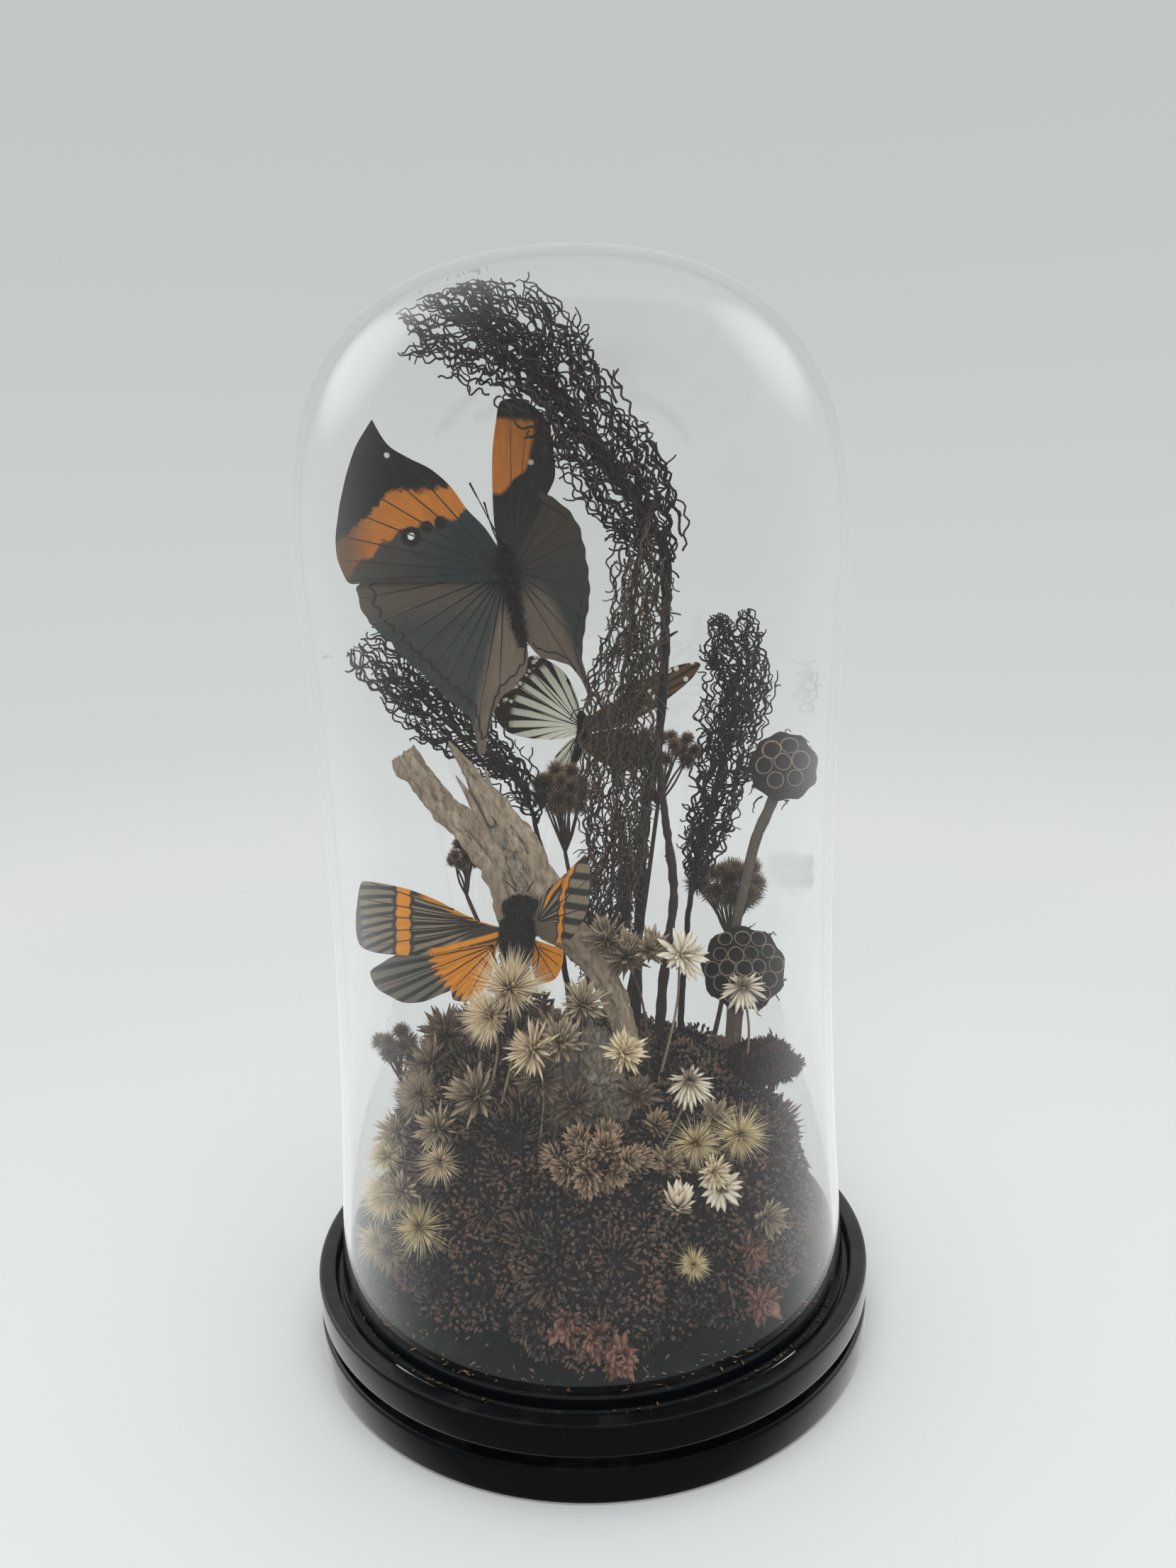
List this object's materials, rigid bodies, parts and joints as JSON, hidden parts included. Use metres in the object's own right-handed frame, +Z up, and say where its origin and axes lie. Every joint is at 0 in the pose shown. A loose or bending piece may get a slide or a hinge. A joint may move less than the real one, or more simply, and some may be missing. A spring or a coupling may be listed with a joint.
{
  "type": "insect in glass dome",
  "caption": "Butterflies and a cicada mounted on driftwood among dried flowers, on a turned black base under a clear glass dome.",
  "frame": {"origin": "middle of the base's flat underside", "axes": "+Z up the axis of the dome, -Y the side that the arrangement faces, +X to the right seen from there"},
  "size_m": [0.165, 0.165, 0.3014],
  "materials": {
    "black_base": "turned wood, satin black lacquer worn at the edges",
    "clear_glass": "thin clear blown glass",
    "leaf_wing": "scaled wing, black and slate with an orange band",
    "cicada_wing": "wing with grey-brown cells, black veins and orange patches",
    "tiger_wing": "cream wing with dark brown veins",
    "insect_body": "velvety dark body",
    "driftwood": "weathered bare wood",
    "bark": "rough grey bark",
    "dark_twig": "dry near-black twigs",
    "brown_twig": "dry brown curled twigs",
    "lotus_pod": "dry dark brown seed pod with paler cell rims",
    "brown_tuft": "dry fuzzy brown heads",
    "flower_mass": "dry granular purple-brown heads",
    "cream_tuft": "dry cream bristles",
    "papery_petal": "dry papery petals",
    "yellow_bristle": "fine pale yellow bristles",
    "scaled_bud": "dry brown overlapping scales",
    "rosy_flower": "dry rosy petals",
    "cockscomb": "dark red velvety crest"
  },
  "bodies": {
    "root": {"bark_stump": "bark", "base": "black_base", "bud_cluster": "scaled_bud", "bud_right": "scaled_bud", "cicada_body": "insect_body", "cicada_forewing_left": "cicada_wing", "cicada_forewing_right": "cicada_wing", "cicada_hindwing_left": "cicada_wing", "cicada_hindwing_right": "cicada_wing", "cockscomb": "cockscomb", "cup_flower": "papery_petal", "daisy": "papery_petal", "driftwood_left_fork": "driftwood", "driftwood_right_fork": "driftwood", "driftwood_trunk": "driftwood", "flower_mass_back": "flower_mass", "flower_mass_front": "flower_mass", "flower_mass_left": "flower_mass", "flower_mass_right": "flower_mass", "glass_dome": "clear_glass", "leaf_butterfly_body": "insect_body", "leaf_butterfly_forewing_left": "leaf_wing", "leaf_butterfly_forewing_right": "leaf_wing", "leaf_butterfly_hindwing_left": "leaf_wing", "leaf_butterfly_hindwing_right": "leaf_wing", "left_plume": "dark_twig", "lotus_pod_lower": "lotus_pod", "lotus_pod_upper": "lotus_pod", "right_plume": "dark_twig", "rosy_front": "rosy_flower", "rosy_right": "rosy_flower", "second_plume_stem": "dark_twig", "seed_cluster": "brown_tuft", "star_1": "yellow_bristle", "star_2": "yellow_bristle", "star_3": "yellow_bristle", "star_left_1": "yellow_bristle", "star_left_2": "yellow_bristle", "star_left_3": "yellow_bristle", "straw_flower_1": "papery_petal", "straw_flower_2": "papery_petal", "straw_flower_3": "papery_petal", "tall_plume_arch": "dark_twig", "tall_plume_stem": "dark_twig", "tall_plume_veil": "brown_twig", "thistle_1": "cream_tuft", "thistle_2": "cream_tuft", "thistle_3": "cream_tuft", "thistle_4": "cream_tuft", "thistle_5": "cream_tuft", "tiger_butterfly_body": "insect_body", "tiger_butterfly_forewing_left": "tiger_wing", "tiger_butterfly_forewing_right": "tiger_wing", "tiger_butterfly_hindwing_left": "tiger_wing", "tiger_butterfly_hindwing_right": "tiger_wing", "tuft_back_right": "brown_tuft", "tuft_centre": "brown_tuft", "tuft_centre_right": "brown_tuft", "tuft_left": "brown_tuft", "tuft_left_low": "brown_tuft"}
  },
  "joints": []
}
